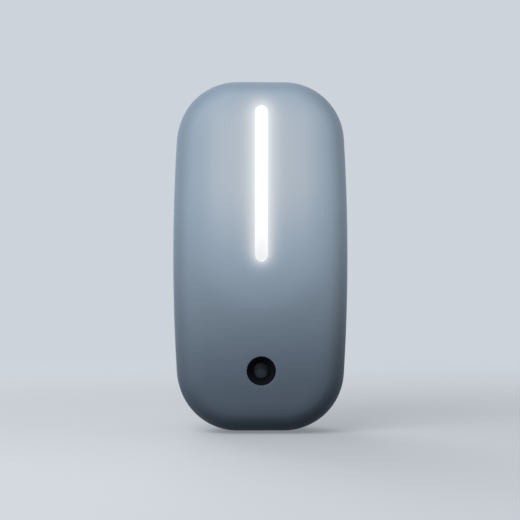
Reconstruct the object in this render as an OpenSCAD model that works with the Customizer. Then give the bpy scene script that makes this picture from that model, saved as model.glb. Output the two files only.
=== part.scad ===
// Plug-in night light with a lit slot, a rear glow window, a photocell and a small slide switch.
//
// Frame: +X to the right and +Z up as the light is seen from the room, +Y into the wall socket.
// The origin is the middle of the plug's end face, between the two pins.
// All lengths are millimetres.

/* [Cover] */
// Width of the front cover at its widest
cover_w = 63; // [60:1:68]
// Height of the front cover
cover_h = 125; // [122:1:135]
// Depth of the front cover, from its rim to the middle of its face
cover_d = 26; // [25:1:30]
// Corner radius of the cover's outline
corner_r = 22; // [20:1:24]
// How far each long side bows outwards
side_bow = 1.2; // [0.6:0.2:1.6]
// Rise of the middle of the face above its edges
crown = 2.2; // [1.6:0.2:2.6]
// Wall thickness of the mouldings
wall = 2; // [1.8:0.1:2.2]

/* [Slot and sensor] */
// Width of the lit slot
slot_w = 4.3; // [3.5:0.1:5]
// Length of the lit slot
slot_l = 54.5; // [48:0.5:56]
// Distance from the top of the cover to the top of the slot
slot_drop = 9.8; // [9:0.1:12]
// Diameter of the hole for the sensor cup
sensor_d = 10.2; // [9:0.1:11]
// Distance from the middle of the cover down to the sensor
sensor_drop = 40; // [38:0.5:42]

/* [Rear housing] */
// Step from the cover's outline in to the housing's outline
housing_step = 2.4; // [2.3:0.1:3]
// Depth of the housing that shows behind the cover's rim
housing_d = 13; // [12:0.5:15]
// Distance from the middle of the cover down to the plug
plug_drop = 29; // [27:0.5:30]
// Height of the rear glow window
window_h = 39; // [34:1:39]

/* [Plug] */
// Depth of the plug's body, from the housing's back to its end face
plug_d = 17; // [15:0.5:17.5]
// Width of the plug's body
plug_w = 35.3; // [34:0.1:35.3]
// Height of the plug's body
plug_h = 13.7; // [13:0.1:13.7]
// Diameter of each pin
pin_d = 4; // [4:0.1:4]
// Length of each pin beyond the plug's end face
pin_l = 19; // [18.5:0.5:19.5]
// Distance between the pins' axes
pin_pitch = 18.6; // [18.6:0.1:19]
// Length of the insulating sleeve on each pin
sleeve_l = 10; // [9:0.5:10]

/* [Switch] */
// Travel of the switch's knob to each side of its middle position
switch_travel = 2; // [1.5:0.1:2]

/* [Hidden] */

$fn = 48;
eps = 0.01;        // overlap that makes a union or a cut clean
over = 1;          // length by which a cutting tool runs past what it cuts
touch_gap = 0.15;  // gap between two mouldings that meet

// Planes across the depth of the light
back_y = -plug_d;                // the housing's back, which meets the socket's front
rim_y = back_y - housing_d;      // the cover's rim
lip_d = 3;                       // depth of the housing's lip inside the cover
lip_y = rim_y - lip_d;           // front edge of the housing's lip
post_y = rim_y - 1;              // where the housing's posts meet the cover's bosses
face_y = rim_y - cover_d;        // middle of the cover's face
boss_front_y = face_y + 3;       // where the cover's bosses grow out of its face

// Outline of the cover
half_w = cover_w / 2;
half_h = cover_h / 2;
corner_z = half_h - corner_r;                                  // height of the corner arcs' centres
bow_r = (pow(corner_z, 2) + pow(side_bow, 2)) / (2 * side_bow);  // radius of a long side
bow_x = half_w - bow_r;                                        // centre of that radius
corner_x = bow_x + sqrt(pow(bow_r - corner_r, 2) - pow(corner_z, 2));
bow_angle = asin(corner_z / (bow_r - corner_r));
side_steps = 5;      // facets along a quarter of the long sides
corner_steps = 12;   // facets round each corner
edge_steps = 9;      // facets across the rounded front edge
face_rings = 4;      // rings from the front edge to the middle of the face
back_steps = 4;      // facets across the housing's rounded back edge

// Rounding from the walls into the face
edge_in = 9;         // how far it reaches in across the face
edge_out = 12;       // how far it reaches back along the wall
edge_power = 2.3;    // 2 is an ellipse, and more is squarer
draft = 0.6;         // how much a wall leans in for the mould
back_round = 2.5;    // rounding of the housing's back edge
inner_round = 0.6;   // least rounding inside it

// Slot, light bar and light channel
slot_z = plug_drop + half_h - slot_drop - slot_l / 2;  // middle of the slot
bar_gap = 0.1;       // gap round the light bar in the slot
bar_sink = 0.35;     // how far the light bar lies below the cover's face
bar_flange = 2.1;    // how much wider the bar is behind the cover
bar_back_y = face_y + 7;
channel_w = 7.2;     // inner width of the light channel
channel_t = 1.2;     // thickness of its walls
peg_x = 7.8;         // pegs that hold the channel to the cover
peg_d = 2.4;
peg_up = 10;         // how far above and below the slot's middle they stand
peg_l = 10;          // how far they reach back from the face
peg_z = [slot_z - peg_up, slot_z + peg_up];
peg_front_y = face_y + 2;         // where the pegs grow out of the cover's face
ear_t = 1.5;         // thickness of the channel's ears
ear_h = 5;
foot_t = 3.5;        // thickness of its feet on the LED board

// LED board
board_t = 1.2;
led_board_w = 29;
led_board_h = 56;
led_y = rim_y - 1;   // rear face of the LED board
led_w = 3.5;         // a surface-mount LED
led_h = 2.8;
led_t = 0.8;
phosphor_d = 2.2;    // its round window
phosphor_sink = 0.25;
front_led_n = 8;
front_led_pitch = 6.5;
rear_led_x = 9;
rear_led_z = [slot_z - 20, slot_z - 11, slot_z + 6, slot_z + 15];
led_screw_z = slot_z - 2.5;
led_room = 0.4;      // gap round an LED in the reflector
board_hole_d = 2.2;  // holes for the small screws in both boards

// Rear glow window and its reflector
window_z = plug_drop + 3;         // its lower edge
window_front_y = rim_y + 1;       // its front edge, behind the cover's rim
tongue_t = 1.2;                   // inner tongue that holds the window in the housing
tongue_l = 2;                     // how far the tongue reaches past the opening
reflector_w = 47;
reflector_t = 0.6;
baffle_t = 1.2;

// Sensor
sensor_z = plug_drop - sensor_drop;
cup_front_y = face_y + 1.35;      // front edge of the cup, just below the face around it
cup_depth = 3.4;
cup_mouth_d = sensor_d - 0.8;
cup_floor_d = 6.8;
cup_flange_d = 13;
cup_flange_y = cup_front_y + 2;   // front of the flange that stops the cup behind the cover
cup_flange_t = 1.2;
cup_tube_d = 8;
cell_d = 5.4;
cell_hole_d = 5.6;
cell_front_y = cup_front_y + 2.4;
cell_dome_r = 8;                  // radius of the cell's shallow dome
cell_back_y = cup_front_y + 8;
cell_sink = 0.2;                  // how far the cell's back lies inside the cup's tube
lead_d = 0.5;
lead_pitch = 2.54;

// Driver board
driver_t = 1.6;
driver_w = 44;
driver_h = 37;
driver_z = 3.5;                   // middle of the board
driver_back_y = rim_y + 2.8;      // its face towards the plug
driver_front_y = driver_back_y - driver_t;
standoff_x = 18;
standoff_z = 14;
standoff_d = 6;

// Parts on the driver board: each place is X and Z, and each size is across, up and out from the board
film_at = [-8, 15];
film_size = [13, 6.5, 11.5];
can_at = [8.5, 14.5];
can_d = 8;
can_l = 12.5;
can_groove_d = 7.2;               // the groove rolled in near its foot
bridge_at = [-8, 5.5];
bridge_size = [4.8, 4, 2.4];
bridge_leg_x = 1.3;
chip_at = [0.5, 4.5];
chip_size = [4.9, 3.9, 1.6];
chip_leg_pitch = 1.27;
fuse_at = [9.5, 3];
fuse_d = 3.4;
fuse_l = 9;
fuse_up = 2.4;                    // its axis above the board
varistor_at = [-15.5, -6];
varistor_d = 7.2;
varistor_t = 3.4;
varistor_up = 5;
resistor_at = [[12, -5], [12, -8], [12, -11], [16, -5], [16, -8], [7.5, -5], [7.5, -8], [-8, -4], [-8, -7]];
resistor_size = [2, 1.25, 0.6];
leg_d = 0.7;                      // round legs of the larger parts
leg_t = 0.3;                      // flat legs of the chips
led_lead_x = [8, 11];
led_lead_d = 1.1;
mains_lead_d = 1.5;
mains_lead_z = 7;                 // where the mains leads meet the board
switch_lead_d = 1;

// Screws and posts
post_d = 7;
post_x = 18;
post_up = 49;                     // how far above and below the cover's middle they stand
post_z = [plug_drop - post_up, plug_drop + post_up];
screw_d = 2.5;
screw_head_d = 5.4;
screw_head_t = 1.9;
screw_seat_y = back_y - 4.5;      // face that the screw heads pull on
screw_l = 22;
head_hole_d = 6;
shank_hole_d = 3.2;
small_screw_d = 1.8;
small_head_d = 3.6;
small_head_t = 1.2;

// Plug
pin_x = pin_pitch / 2;
pin_core_d = 3;                   // the pin inside its sleeve and in the plug's body
pin_collar_d = 5;                 // collar that anchors the pin in the plug's body
pin_collar_y = [-9, -6];
sleeve_d = 3.6;
sleeve_in = 2;                    // how far the sleeve reaches into the plug's body
pin_seat_d = 7.6;
pin_seat_l = 13;                  // length of the pin held in the plug's body
pin_tail_l = 4;
plug_end_t = 3;
plug_flange_w = 28;               // flange that stops the plug's body at the housing's back
plug_flange_h = 18;
plug_flange_t = 1.6;

// Slide switch in the bottom of the housing
switch_y = (back_y + rim_y) / 2 - 0.5;
floor_z = plug_drop - half_h + housing_step;   // outside of the housing's bottom
switch_w = 13;
switch_deep = 6.5;
switch_tall = 5.2;
switch_z = floor_z + wall + draft + 0.1;       // lower face of the switch
frame_t = 0.4;
knob_w = 3.6;
knob_deep = 2.6;
knob_out = 1.2;                                // how far the knob stands out of the housing
knob_room = 0.7;                               // gap round the knob at the ends of its travel
guide_t = 1.6;                                 // walls in the housing at both ends of the switch
stem_w = 3;
stem_deep = 2.4;
block_w = 5.2;
block_deep = 3.8;
block_tall = 2.6;
terminal_x = [-3.8, -1.3, 1.3, 3.8];
terminal_l = 2.8;

// Vents in the housing's back
vent_w = 1.6;
vent_l = 12;
vent_pitch = 3.6;
vent_n = 4;
vent_x = 13.5;
vent_z = floor_z + 12.5;

// ---------------------------------------------------------------- shared shapes

// One quarter of the cover's outline, inset by d, from the middle of a long side to the top
function quarter(d) = concat(
    [for (i = [0 : side_steps - 1]) let (a = bow_angle * i / side_steps)
        [bow_x + (bow_r - d) * cos(a), (bow_r - d) * sin(a)]],
    [for (i = [0 : corner_steps]) let (a = bow_angle + (90 - bow_angle) * i / corner_steps)
        [corner_x + (corner_r - d) * cos(a), corner_z + (corner_r - d) * sin(a)]]);

// The whole outline, inset by d, anticlockwise as the light is seen from the room
function outline(d) = let (q = quarter(d), n = len(q)) concat(
    q,
    [for (i = [n - 1 : -1 : 0]) [-q[i][0], q[i][1]]],
    [for (i = [1 : n - 1]) [-q[i][0], -q[i][1]]],
    [for (i = [n - 1 : -1 : 1]) [q[i][0], -q[i][1]]]);

// The rounded edge as a quarter of a superellipse: share of its reach in and out at t from 0 to 1
function edge_share_in(t) = 1 - pow(cos(90 * t), 2 / edge_power);
function edge_share_out(t) = pow(sin(90 * t), 2 / edge_power);

// Rise of the crowned face at a point of the outline's plane
function crown_at(p, rise) = rise * (1 - pow(p[0] / half_w, 2)) * (1 - pow(p[1] / half_h, 2));

// Levels of a dome from its flat side to its face: inset, depth and share of the crown
function wall_levels(inset, depth, inward, outward, rise, steps) = concat(
    [[inset, 0, 0]],
    [for (i = [0 : steps]) let (t = i / steps)
        [inset + draft + inward * edge_share_in(t),
         depth - rise - outward * (1 - edge_share_out(t)), edge_share_out(t)]]);

// A closed dome on the outline: flat at y = base, and rising by depth towards -Y.
// The wall leans in by draft, then rounds by inward and outward into a face crowned by rise.
// steps are the facets across the rounding, and n_rings the rings across the face.
module dome(inset, base, depth, inward, outward, rise, steps, n_rings) {
    levels = wall_levels(inset, depth, inward, outward, rise, steps);
    walls = [for (l = levels) for (p = outline(l[0]))
        [p[0], base - l[1] - l[2] * crown_at(p, rise), p[1]]];
    last = outline(levels[steps + 1][0]);
    face = [for (k = [1 : 1 : n_rings - 1]) for (q = last) let (p = q * (1 - k / n_rings))
        [p[0], base - (depth - rise) - crown_at(p, rise), p[1]]];
    n = len(last);
    rings = len(levels) + n_rings - 1;
    apex = rings * n;
    translate([0, 0, plug_drop])
        polyhedron(
            points = concat(walls, face, [[0, base - depth, 0]]),
            faces = concat(
                [[for (i = [0 : n - 1]) i]],
                [for (k = [0 : rings - 2]) for (i = [0 : n - 1]) let (j = (i + 1) % n)
                    [k * n + i, (k + 1) * n + i, (k + 1) * n + j]],
                [for (k = [0 : rings - 2]) for (i = [0 : n - 1]) let (j = (i + 1) % n)
                    [k * n + i, (k + 1) * n + j, k * n + j]],
                [for (i = [0 : n - 1]) [(rings - 1) * n + i, apex, (rings - 1) * n + (i + 1) % n]]));
}

// The cover's form, inset by d all over, with its flat side moved back by extra
module cover_form(d, extra = 0) {
    dome(d, rim_y + extra, cover_d - d + extra, edge_in - d, edge_out - d, crown,
         edge_steps, face_rings);
}

// The cover's form, inset by d, as its section down the middle, carried across by w
module cover_section(d, w) {
    levels = wall_levels(d, cover_d - d, edge_in - d, edge_out - d, crown, edge_steps);
    edge = [for (l = levels) let (z = half_h - l[0])
        [l[1] + l[2] * crown_at([0, z], crown), z]];
    top = edge[len(edge) - 1][1];
    face = [for (i = [1 : 15]) let (z = top * (1 - i / 8))
        [cover_d - d - crown + crown_at([0, z], crown), z]];
    foot = [for (i = [len(edge) - 1 : -1 : 0]) [edge[i][0], -edge[i][1]]];
    translate([-w / 2, rim_y, plug_drop]) rotate([90, 0, 90]) linear_extrude(w)
        mirror([1, 0]) polygon(concat(edge, face, foot));
}

// The housing's form, inset by d all over, with its flat side moved forward by extra
module housing_form(d, extra = 0) {
    mirror([0, 1, 0])
        dome(housing_step + d, -lip_y + extra, back_y - lip_y - d + extra,
             max(back_round - d, inner_round), max(back_round - d, inner_round), 0, back_steps, 1);
}

// A 2D shape in X and Z, carried along Y from y0 to y1
module along_y(y0, y1) {
    translate([0, y1, 0]) rotate([90, 0, 0]) linear_extrude(y1 - y0) children();
}

// A round bar along Y from y0 to y1
module bar_y(d, y0, y1) {
    translate([0, y1, 0]) rotate([90, 0, 0]) cylinder(d = d, h = y1 - y0);
}

// A block from one corner to the opposite corner
module block(low, high) {
    translate(low) cube(high - low);
}

// A slot shape with round ends, w wide and l long, upright and centred
module stadium(w, l) {
    square([w, l - w], center = true);
    for (s = [-1, 1]) translate([0, s * (l - w) / 2]) circle(d = w);
}

// A point of the smooth path from a to e that leaves towards b and arrives from c, and its direction
function path_at(a, b, c, e, t) = let (s = 1 - t)
    a * s * s * s + 3 * b * t * s * s + 3 * c * t * t * s + e * t * t * t;
function path_way(a, b, c, e, t) = let (s = 1 - t)
    (b - a) * s * s + 2 * (c - b) * t * s + (e - c) * t * t;

// A round wire of diameter d along that path, which never runs straight along X
module wire(a, b, c, e, d) {
    sides = 8;
    last = 10;
    rings = [for (i = [0 : last])
        let (way = path_way(a, b, c, e, i / last), t = way / norm(way),
             w = [1, 0, 0] - t[0] * t, u = w / norm(w), v = cross(t, u))
        for (k = [0 : sides - 1])
            path_at(a, b, c, e, i / last) + (u * cos(360 * k / sides) + v * sin(360 * k / sides)) * d / 2];
    polyhedron(
        points = rings,
        faces = concat(
            [[for (k = [0 : sides - 1]) k]],
            [for (i = [0 : last - 1]) for (k = [0 : sides - 1]) let (m = (k + 1) % sides)
                [i * sides + k, (i + 1) * sides + k, (i + 1) * sides + m]],
            [for (i = [0 : last - 1]) for (k = [0 : sides - 1]) let (m = (k + 1) % sides)
                [i * sides + k, (i + 1) * sides + m, i * sides + m]],
            [[for (k = [sides - 1 : -1 : 0]) last * sides + k]]));
}

// The shape that a plug's flat body has from its end
module plug_outline(shrink = 0) {
    x = plug_w / 2 - shrink;
    z = plug_h / 2 - shrink;
    bevel = plug_h / 3;
    polygon([[x, z - bevel], [x - bevel, z], [bevel - x, z], [-x, z - bevel],
             [-x, bevel - z], [bevel - x, -z], [x - bevel, -z], [x, bevel - z]]);
}

// Both sides, mirrored in X
module both_sides() {
    children();
    mirror([1, 0, 0]) children();
}

// The places of the four screw posts
module at_posts() {
    for (s = [-1, 1]) for (z = post_z) translate([s * post_x, 0, z]) children();
}

// ---------------------------------------------------------------- casing

module front_cover() {
    color([0.86, 0.89, 0.92])
        difference() {
            union() {
                difference() {
                    cover_form(0);
                    cover_form(wall, over);
                }
                at_posts() bar_y(post_d, boss_front_y, post_y);
                both_sides() for (z = peg_z)
                    translate([peg_x, 0, z]) bar_y(peg_d, peg_front_y, face_y + peg_l);
            }
            translate([0, 0, slot_z]) along_y(face_y - over, bar_back_y) stadium(slot_w, slot_l);
            translate([0, 0, sensor_z]) bar_y(sensor_d, face_y - over, face_y + 8);
            at_posts() bar_y(screw_d, screw_seat_y - screw_l - over, post_y + over);
        }
}

module rear_housing() {
    color([0.84, 0.87, 0.90])
        difference() {
            union() {
                difference() {
                    housing_form(0);
                    housing_form(wall, over);
                }
                at_posts() bar_y(post_d, post_y, back_y - wall / 2);
                both_sides() translate([standoff_x, 0, standoff_z])
                    bar_y(standoff_d, driver_back_y, back_y - wall / 2);
                both_sides() block([switch_w / 2 + 0.1, switch_y - 4, floor_z + draft + wall / 2],
                                   [switch_w / 2 + 0.1 + guide_t, back_y - wall / 2, switch_z + switch_tall]);
            }
            along_y(back_y - wall - over, back_y + over) plug_outline(-0.1);
            block([-half_w, window_front_y, window_z],
                  [half_w, back_y + over, window_z + window_h]);
            at_posts() {
                bar_y(head_hole_d, screw_seat_y, back_y + over);
                bar_y(shank_hole_d, post_y - over, screw_seat_y + over);
            }
            both_sides() translate([standoff_x, 0, standoff_z])
                bar_y(small_screw_d, driver_back_y - over, back_y - 1.2);
            both_sides() for (i = [0 : vent_n - 1])
                translate([vent_x - i * vent_pitch, 0, vent_z])
                    along_y(back_y - wall - over, back_y + over) stadium(vent_w, vent_l);
            block([-knob_w / 2 - switch_travel - knob_room, switch_y - knob_deep / 2 - knob_room,
                   floor_z - over],
                  [knob_w / 2 + switch_travel + knob_room, switch_y + knob_deep / 2 + knob_room,
                   floor_z + wall + over]);
        }
}

module plug_body() {
    inner_y = back_y - wall - plug_flange_t;
    color([0.84, 0.87, 0.90])
        difference() {
            union() {
                along_y(inner_y, 0) plug_outline();
                block([-plug_flange_w / 2, inner_y, -plug_flange_h / 2],
                      [plug_flange_w / 2, back_y - wall, plug_flange_h / 2]);
            }
            along_y(inner_y - over, -plug_end_t) difference() {
                plug_outline(wall);
                both_sides() translate([pin_x, 0]) circle(d = pin_seat_d);
            }
            both_sides() translate([pin_x, 0, 0]) {
                bar_y(pin_core_d, -pin_seat_l - over, over);
                bar_y(pin_collar_d, pin_collar_y[0], pin_collar_y[1]);
                bar_y(sleeve_d, -sleeve_in, over);
                bar_y(pin_seat_d + 1, inner_y - over, -pin_seat_l);
            }
        }
}

module rear_window() {
    color([0.95, 0.97, 1.0])
        difference() {
            union() {
                intersection() {
                    housing_form(0);
                    block([-half_w, window_front_y + touch_gap, window_z + touch_gap],
                          [half_w, 0, window_z + window_h - touch_gap]);
                }
                intersection() {
                    housing_form(wall + 0.1);
                    block([-half_w, window_front_y - 2, window_z - tongue_l],
                          [half_w, 0, window_z + window_h + tongue_l]);
                }
            }
            housing_form(wall + tongue_t, over);
        }
}

module light_bar() {
    color([1, 1, 1])
        union() {
            intersection() {
                cover_section(bar_sink, slot_w);
                translate([0, 0, slot_z]) along_y(face_y, bar_back_y)
                    stadium(slot_w - 2 * bar_gap, slot_l - 2 * bar_gap);
            }
            intersection() {
                cover_section(wall + 0.15, slot_w + 2 * bar_flange + over);
                translate([0, 0, slot_z]) along_y(face_y, bar_back_y)
                    stadium(slot_w + 2 * bar_flange, slot_l + 2 * bar_flange);
            }
        }
}

module light_channel() {
    outer_w = channel_w + 2 * channel_t;
    channel_l = slot_l + 2 * bar_flange;
    color([0.93, 0.94, 0.95])
        difference() {
            union() {
                translate([0, 0, slot_z]) along_y(bar_back_y, led_y - board_t)
                    square([outer_w, channel_l], center = true);
                for (z = peg_z) translate([0, 0, z]) along_y(bar_back_y, bar_back_y + ear_t)
                    stadium_across(2 * peg_x + ear_h, ear_h);
                translate([0, 0, led_screw_z]) along_y(led_y - board_t - foot_t, led_y - board_t)
                    stadium_across(2 * rear_led_x + ear_h, ear_h);
            }
            translate([0, 0, slot_z]) along_y(bar_back_y - over, led_y - board_t + over)
                square([channel_w, channel_l - 2 * channel_t], center = true);
            both_sides() for (z = peg_z) translate([peg_x, 0, z])
                bar_y(peg_d + 0.2, bar_back_y - over, bar_back_y + ear_t + over);
            both_sides() translate([rear_led_x, 0, led_screw_z])
                bar_y(small_screw_d, led_y - board_t - foot_t - over, led_y - board_t + over);
        }
}

// A slot shape that lies across, w wide and h high
module stadium_across(w, h) {
    rotate(90) stadium(h, w);
}

module rear_reflector() {
    top_z = window_z + window_h + tongue_l + 0.3;
    low_z = window_z - tongue_l - 0.3 - baffle_t;
    color([0.95, 0.96, 0.97])
        difference() {
            union() {
                block([-reflector_w / 2, led_y, low_z], [reflector_w / 2, led_y + reflector_t, top_z]);
                for (z = [low_z, top_z - baffle_t])
                    block([-reflector_w / 2, led_y, z],
                          [reflector_w / 2, back_y - wall - tongue_t - 0.5, z + baffle_t]);
            }
            both_sides() {
                for (z = rear_led_z)
                    block([rear_led_x - led_w / 2 - led_room, led_y - over, z - led_h / 2 - led_room],
                          [rear_led_x + led_w / 2 + led_room, led_y + over, z + led_h / 2 + led_room]);
                translate([rear_led_x, 0, led_screw_z]) bar_y(small_head_d + 0.6, led_y - over, led_y + over);
            }
        }
}

// ---------------------------------------------------------------- LED board

module led_board() {
    color([0.93, 0.94, 0.93])
        difference() {
            block([-led_board_w / 2, led_y - board_t, slot_z - led_board_h / 2],
                  [led_board_w / 2, led_y, slot_z + led_board_h / 2]);
            both_sides() translate([rear_led_x, 0, led_screw_z])
                bar_y(board_hole_d, led_y - board_t - over, led_y + over);
        }
}

// One surface-mount LED, with its yellow phosphor window cut in towards y = top
module led(x, z, base, top) {
    out = top > base ? 1 : -1;
    difference() {
        block([x - led_w / 2, min(base, top), z - led_h / 2], [x + led_w / 2, max(base, top), z + led_h / 2]);
        translate([x, 0, z])
            bar_y(phosphor_d, min(top, top - out * phosphor_sink) - (out < 0 ? over : 0),
                  max(top, top - out * phosphor_sink) + (out > 0 ? over : 0));
    }
}

module front_leds() {
    board_y = led_y - board_t;
    color([0.98, 0.95, 0.75])
        for (i = [0 : front_led_n - 1])
            led(0, slot_z + (i - (front_led_n - 1) / 2) * front_led_pitch, board_y, board_y - led_t);
}

module rear_leds() {
    color([0.98, 0.95, 0.75])
        for (s = [-1, 1]) for (z = rear_led_z) led(s * rear_led_x, z, led_y, led_y + led_t);
}

// ---------------------------------------------------------------- screws

// A pan-head screw along Y with its head's seat at y = seat, its head towards +Y and a cross in it
module screw(seat, d, length, head_d, head_t) {
    difference() {
        union() {
            bar_y(d, seat - length, seat);
            bar_y(head_d, seat, seat + head_t * 0.55);
            translate([0, seat + head_t * 0.55, 0]) rotate([-90, 0, 0])
                cylinder(d1 = head_d, d2 = head_d * 0.72, h = head_t * 0.45);
        }
        for (a = [0, 90]) rotate([0, a, 0])
            block([-head_d * 0.3, seat + head_t * 0.45, -head_d * 0.06],
                  [head_d * 0.3, seat + head_t + over, head_d * 0.06]);
    }
}

module housing_screws() {
    color([0.72, 0.73, 0.75])
        at_posts() screw(screw_seat_y, screw_d, screw_l, screw_head_d, screw_head_t);
}

module board_screws() {
    color([0.72, 0.73, 0.75])
        both_sides() translate([standoff_x, 0, standoff_z]) mirror([0, 1, 0])
            screw(-driver_front_y, small_screw_d, 6.5, small_head_d, small_head_t);
}

module led_board_screws() {
    color([0.72, 0.73, 0.75])
        both_sides() translate([rear_led_x, 0, led_screw_z])
            screw(led_y, small_screw_d, 4.4, small_head_d, small_head_t);
}

// ---------------------------------------------------------------- sensor

module sensor_cup() {
    color([0.05, 0.05, 0.06])
        translate([0, 0, sensor_z])
            difference() {
                union() {
                    bar_y(sensor_d - 0.2, cup_front_y, cup_flange_y + cup_flange_t);
                    bar_y(cup_flange_d, cup_flange_y, cup_flange_y + cup_flange_t);
                    bar_y(cup_tube_d, cup_flange_y + cup_flange_t - eps, cell_back_y);
                }
                translate([0, cup_front_y - eps, 0]) rotate([-90, 0, 0])
                    cylinder(d1 = cup_mouth_d, d2 = cup_floor_d, h = cup_depth);
                bar_y(cell_hole_d, cup_front_y, cell_back_y + over);
            }
}

module photocell() {
    back = cell_back_y - cell_sink;
    color([0.22, 0.26, 0.30])
        translate([0, 0, sensor_z]) {
            intersection() {
                translate([0, cell_front_y + cell_dome_r, 0]) rotate([90, 0, 0]) sphere(r = cell_dome_r);
                bar_y(cell_d, cell_front_y - over, back);
            }
            for (s = [-1, 1]) translate([s * lead_pitch / 2, 0, 0])
                bar_y(lead_d, back - 0.3, driver_front_y);
        }
}

module sensor_shroud() {
    color([0.08, 0.08, 0.09])
        translate([0, 0, sensor_z])
            difference() {
                bar_y(cup_tube_d, cell_back_y, driver_front_y);
                bar_y(cell_hole_d, cell_back_y - over, driver_front_y + over);
            }
}

// ---------------------------------------------------------------- driver board

module driver_board() {
    color([0.12, 0.42, 0.24])
        difference() {
            block([-driver_w / 2, driver_front_y, driver_z - driver_h / 2],
                  [driver_w / 2, driver_back_y, driver_z + driver_h / 2]);
            both_sides() translate([standoff_x, 0, standoff_z])
                bar_y(board_hole_d, driver_front_y - over, driver_back_y + over);
        }
}

// A box that stands on the driver board, with its place and its size
module on_board(at, size) {
    block([at[0] - size[0] / 2, driver_front_y - size[2], at[1] - size[1] / 2],
          [at[0] + size[0] / 2, driver_front_y, at[1] + size[1] / 2]);
}

// A flat leg on the board at x, w wide, from z0 to z1
module flat_leg(x, w, z0, z1) {
    block([x - w / 2, driver_front_y - leg_t, min(z0, z1)], [x + w / 2, driver_front_y, max(z0, z1)]);
}

module film_capacitor() {
    color([0.85, 0.68, 0.18]) on_board(film_at, film_size);
}

module smoothing_capacitor() {
    top_y = driver_front_y - can_l;
    color([0.10, 0.14, 0.30])
        translate([can_at[0], 0, can_at[1]])
            difference() {
                union() {
                    bar_y(can_d, top_y, driver_front_y - 2.2);
                    bar_y(can_groove_d, driver_front_y - 2.6, driver_front_y - 1.4);
                    bar_y(can_d, driver_front_y - 1.8, driver_front_y);
                }
                // the scored lines that let its top burst safely
                for (a = [0, 60, 120]) rotate([0, a, 0])
                    block([-can_d / 3, top_y - over, -0.15], [can_d / 3, top_y + 0.2, 0.15]);
            }
}

module bridge_rectifier() {
    color([0.10, 0.10, 0.11]) {
        on_board(bridge_at, bridge_size);
        for (x = [-1, 1]) for (s = [-1, 1])
            flat_leg(bridge_at[0] + x * bridge_leg_x, 0.6, bridge_at[1] + s * bridge_size[1] / 2,
                     bridge_at[1] + s * (bridge_size[1] / 2 + 1.2));
    }
}

module driver_chip() {
    color([0.10, 0.10, 0.11]) {
        on_board(chip_at, chip_size);
        for (i = [0 : 3]) for (s = [-1, 1])
            flat_leg(chip_at[0] + (i - 1.5) * chip_leg_pitch, 0.4, chip_at[1] + s * chip_size[1] / 2,
                     chip_at[1] + s * (chip_size[1] / 2 + 1));
    }
}

module fuse_resistor() {
    y = driver_front_y - fuse_up;
    leg_x = fuse_l / 2 + 1.5 - leg_d / 2;
    color([0.35, 0.55, 0.45])
        translate([fuse_at[0], 0, fuse_at[1]]) {
            translate([0, y, 0]) rotate([0, 90, 0]) cylinder(d = fuse_d, h = fuse_l, center = true);
            translate([0, y, 0]) rotate([0, 90, 0]) cylinder(d = leg_d, h = fuse_l + 3, center = true);
            for (s = [-1, 1]) translate([s * leg_x, 0, 0]) bar_y(leg_d, y, driver_front_y);
        }
}

module surge_varistor() {
    y = driver_front_y - varistor_up;
    color([0.12, 0.30, 0.62])
        translate([varistor_at[0], 0, varistor_at[1]]) {
            translate([0, y, 0]) rotate([0, 90, 0]) cylinder(d = varistor_d, h = varistor_t, center = true);
            for (s = [-1, 1]) translate([0, 0, s * 2.5]) bar_y(leg_d, y + varistor_d / 3, driver_front_y);
        }
}

module chip_resistors() {
    color([0.16, 0.16, 0.17]) for (at = resistor_at) on_board(at, resistor_size);
}

// ---------------------------------------------------------------- plug

// One pin, along +Y from its tail in the plug's body to its round tip
module plug_pin(x) {
    tip = pin_d / 2;
    color([0.80, 0.78, 0.72])
        translate([x, 0, 0]) {
            bar_y(pin_core_d, -pin_seat_l - pin_tail_l, sleeve_l + eps);
            bar_y(pin_collar_d, pin_collar_y[0], pin_collar_y[1]);
            bar_y(pin_d, sleeve_l, pin_l - tip);
            translate([0, pin_l - tip, 0]) sphere(d = pin_d);
        }
}

module pin_sleeve(x) {
    color([0.90, 0.92, 0.94])
        translate([x, 0, 0])
            difference() {
                bar_y(sleeve_d, -sleeve_in, sleeve_l);
                bar_y(pin_core_d, -sleeve_in - over, sleeve_l + over);
            }
}

// A mains lead from the tail of the pin at x to the driver board
module mains_lead(x) {
    side = sign(x);
    tail_y = -pin_seat_l - pin_tail_l;
    end = [x + side * 2, driver_back_y, mains_lead_z];
    wire([x, tail_y, 0], [x, tail_y - 5, 0], end + [0, 5, 0], end, mains_lead_d);
}

module live_lead() {
    color([0.45, 0.24, 0.12]) mains_lead(pin_x);
}

module neutral_lead() {
    color([0.16, 0.32, 0.66]) mains_lead(-pin_x);
}

// A lead from the driver board up to the front of the LED board, at x
module led_lead(x) {
    start = [x, driver_front_y, driver_z + driver_h / 2 - 2];
    end = [x, led_y - board_t, slot_z - led_board_h / 2 + 1.2];
    wire(start, start - [0, 7.2, 0], end - [0, 4.8, 0], end, led_lead_d);
}

module led_lead_positive() {
    color([0.75, 0.10, 0.10]) led_lead(led_lead_x[0]);
}

module led_lead_negative() {
    color([0.08, 0.08, 0.08]) led_lead(led_lead_x[1]);
}

// ---------------------------------------------------------------- slide switch

module switch_body() {
    color([0.12, 0.12, 0.13])
        difference() {
            block([-switch_w / 2, switch_y - switch_deep / 2, switch_z + frame_t],
                  [switch_w / 2, switch_y + switch_deep / 2, switch_z + switch_tall]);
            block([-block_w / 2 - switch_travel - 0.2, switch_y - block_deep / 2 - 0.2, switch_z],
                  [block_w / 2 + switch_travel + 0.2, switch_y + block_deep / 2 + 0.2,
                   switch_z + frame_t + block_tall + 0.4]);
            switch_terminals();
        }
}

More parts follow.
